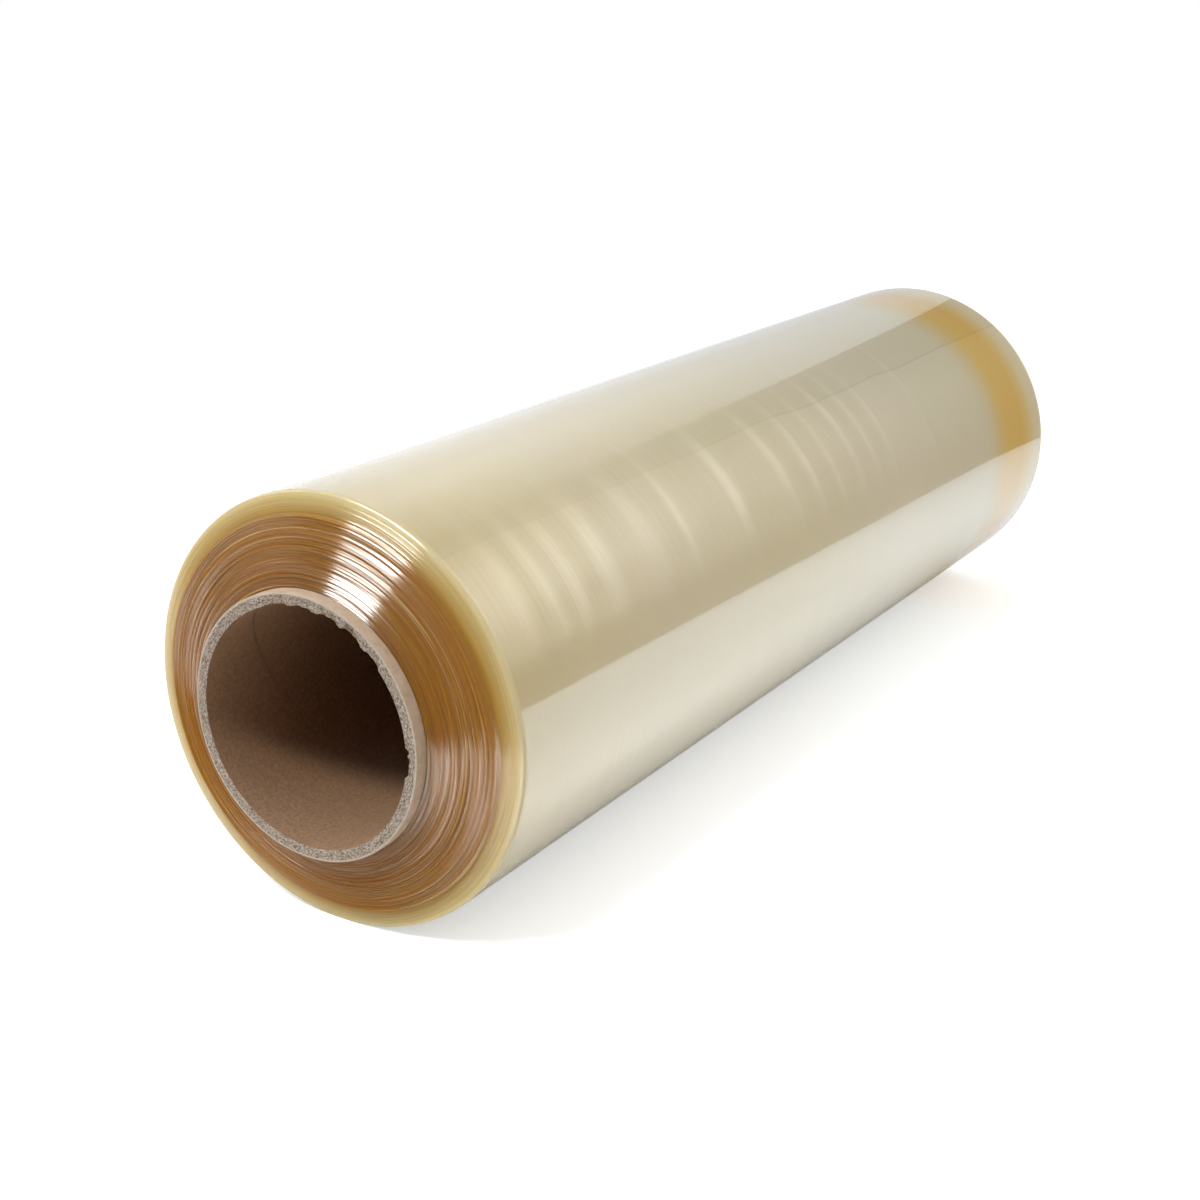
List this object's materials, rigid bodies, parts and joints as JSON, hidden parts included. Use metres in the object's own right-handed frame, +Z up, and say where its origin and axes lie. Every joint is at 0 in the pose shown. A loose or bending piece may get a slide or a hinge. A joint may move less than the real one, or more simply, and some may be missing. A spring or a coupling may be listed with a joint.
{
  "type": "cling film roll",
  "caption": "Catering roll of clear cling film wound on a cardboard core, lying on its side, with coned ends where the edges of the turns show as fine rings.",
  "frame": {"origin": "on the floor under the middle of the roll, at the centre of the flat that it lies on", "axes": "+X along the roll's axis, from the torn end of the core to the other end, +Z up, so -Y is the front"},
  "size_m": [0.4706, 0.1382, 0.1378],
  "materials": {
    "core_board": "uncoated grey-brown board with a kraft lining, fibrous cut ends",
    "clear_film": "glossy yellow-tinted stretch film, pearly on the side and amber on the ends"
  },
  "bodies": {
    "root": {"core": "core_board", "film_roll": "clear_film"}
  },
  "joints": []
}
